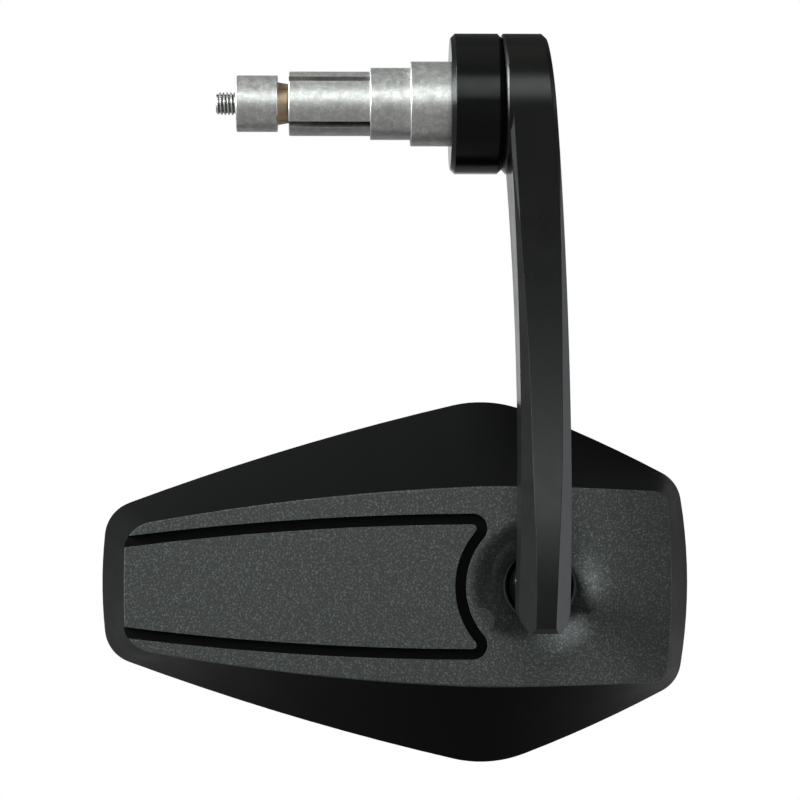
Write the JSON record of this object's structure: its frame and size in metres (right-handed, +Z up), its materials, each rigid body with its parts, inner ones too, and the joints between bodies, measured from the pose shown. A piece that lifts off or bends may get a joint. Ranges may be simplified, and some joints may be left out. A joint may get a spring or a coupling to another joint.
{
  "type": "bar end mirror",
  "caption": "Motorcycle bar end mirror with an expanding bar clamp, a bowed flat arm and an angular moulded head on a ball joint, holding a gently domed glass.",
  "frame": {"origin": "on the bar axis, where the end of the handlebar meets the collar's inner face", "axes": "+X out of the bar end, +Y from the front of the bike towards the rider, +Z up; the glass faces +Y"},
  "size_m": [0.1358, 0.0518, 0.1651],
  "materials": {
    "cast_zinc": "bare die casting, dull grey",
    "cast_nut": "bare die casting, dull grey",
    "plated_steel": "zinc plated",
    "black_anodised": "satin black, turned",
    "black_coated": "satin black, fine grain",
    "polished_steel": "blackened and polished",
    "nylon": "plain moulded",
    "black_moulding": "grained panel, smooth facets",
    "plain_moulding": "plain moulded",
    "adhesive_foam": "foam tape",
    "mirror_glass": "silvered glass"
  },
  "bodies": {
    "bar_end": {"clamp_sleeve": "cast_zinc", "spacer_collar": "black_anodised"},
    "clamp_bolt": {"clamp_bolt": "plated_steel", "bolt_washer": "plated_steel"},
    "cone_nut": {"cone_nut": "cast_nut"},
    "arm": {"arm": "black_coated", "ball_stud": "polished_steel"},
    "seat_liner": {"seat_liner": "nylon"},
    "rear_ring": {"rear_ring": "nylon"},
    "head": {"housing": "black_moulding", "clamp_plate": "plated_steel", "plate_screw_1": "plated_steel", "plate_screw_2": "plated_steel", "plate_screw_3": "plated_steel", "glass_carrier": "plain_moulding", "carrier_screw_1": "plated_steel", "carrier_screw_2": "plated_steel", "carrier_screw_3": "plated_steel", "carrier_screw_4": "plated_steel", "adhesive_pad": "adhesive_foam", "mirror_glass": "mirror_glass"}
  },
  "joints": [
    {"name": "arm_swivel", "type": "hinge", "parent": "bar_end", "child": "arm", "pos_m": [0.0114, 0, 0], "axis": [1, 0, 0], "continuous": true},
    {"name": "clamp_bolt_turn", "type": "hinge", "parent": "bar_end", "child": "clamp_bolt", "pos_m": [0.016, 0, 0], "axis": [1, 0, 0], "range_deg": [-900, 0]},
    {"name": "cone_draw", "type": "slide", "parent": "bar_end", "child": "cone_nut", "axis": [1, 0, 0], "range_m": [0, 0.002]},
    {"name": "head_tilt", "type": "hinge", "parent": "arm", "child": "seat_liner", "pos_m": [0.0211, 0.02053, -0.1078], "axis": [1, 0, 0], "range_deg": [-10, 10]},
    {"name": "head_pan", "type": "hinge", "parent": "seat_liner", "child": "rear_ring", "pos_m": [0.0211, 0.02053, -0.1078], "axis": [0, 0, 1], "range_deg": [-10, 10]},
    {"name": "head_roll", "type": "hinge", "parent": "rear_ring", "child": "head", "pos_m": [0.0211, 0.02053, -0.1078], "axis": [0, 1, 0], "range_deg": [-30, 30]}
  ],
  "couplings": [
    {"joint": "clamp_bolt_turn", "follows": "cone_draw", "rad_per_m": -7854}
  ]
}
